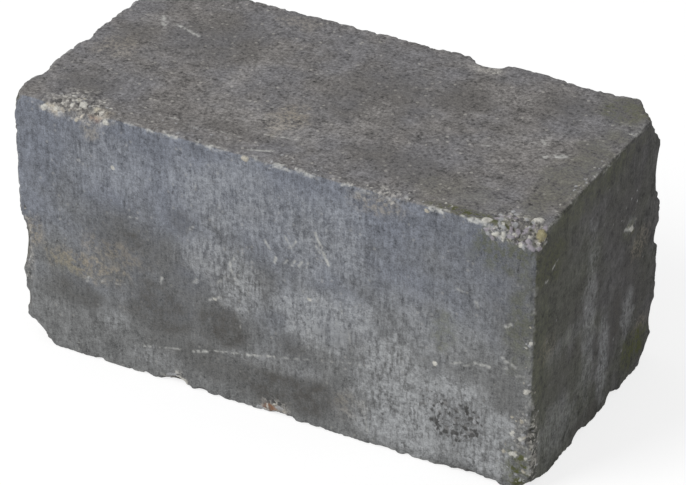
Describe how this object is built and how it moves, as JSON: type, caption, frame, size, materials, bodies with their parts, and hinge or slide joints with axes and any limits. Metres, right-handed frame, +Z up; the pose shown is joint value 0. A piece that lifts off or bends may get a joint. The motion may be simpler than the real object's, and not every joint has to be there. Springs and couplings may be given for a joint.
{
  "type": "concrete wall block",
  "caption": "Solid rectangular concrete wall block, tumbled, with worn edges, chipped arrises and broken corners, for stacked or mortared walls.",
  "frame": {"origin": "middle of the bed face, the face that the block is laid on", "axes": "+X along the length, -Y out of the long front face, +Z up out of the top face"},
  "size_m": [0.3, 0.15, 0.15],
  "materials": {
    "concrete": "dark grey cast concrete, fine sandy grain, weathered, with algae and lime bloom"
  },
  "bodies": {
    "root": {"concrete_block": "concrete"}
  },
  "joints": []
}
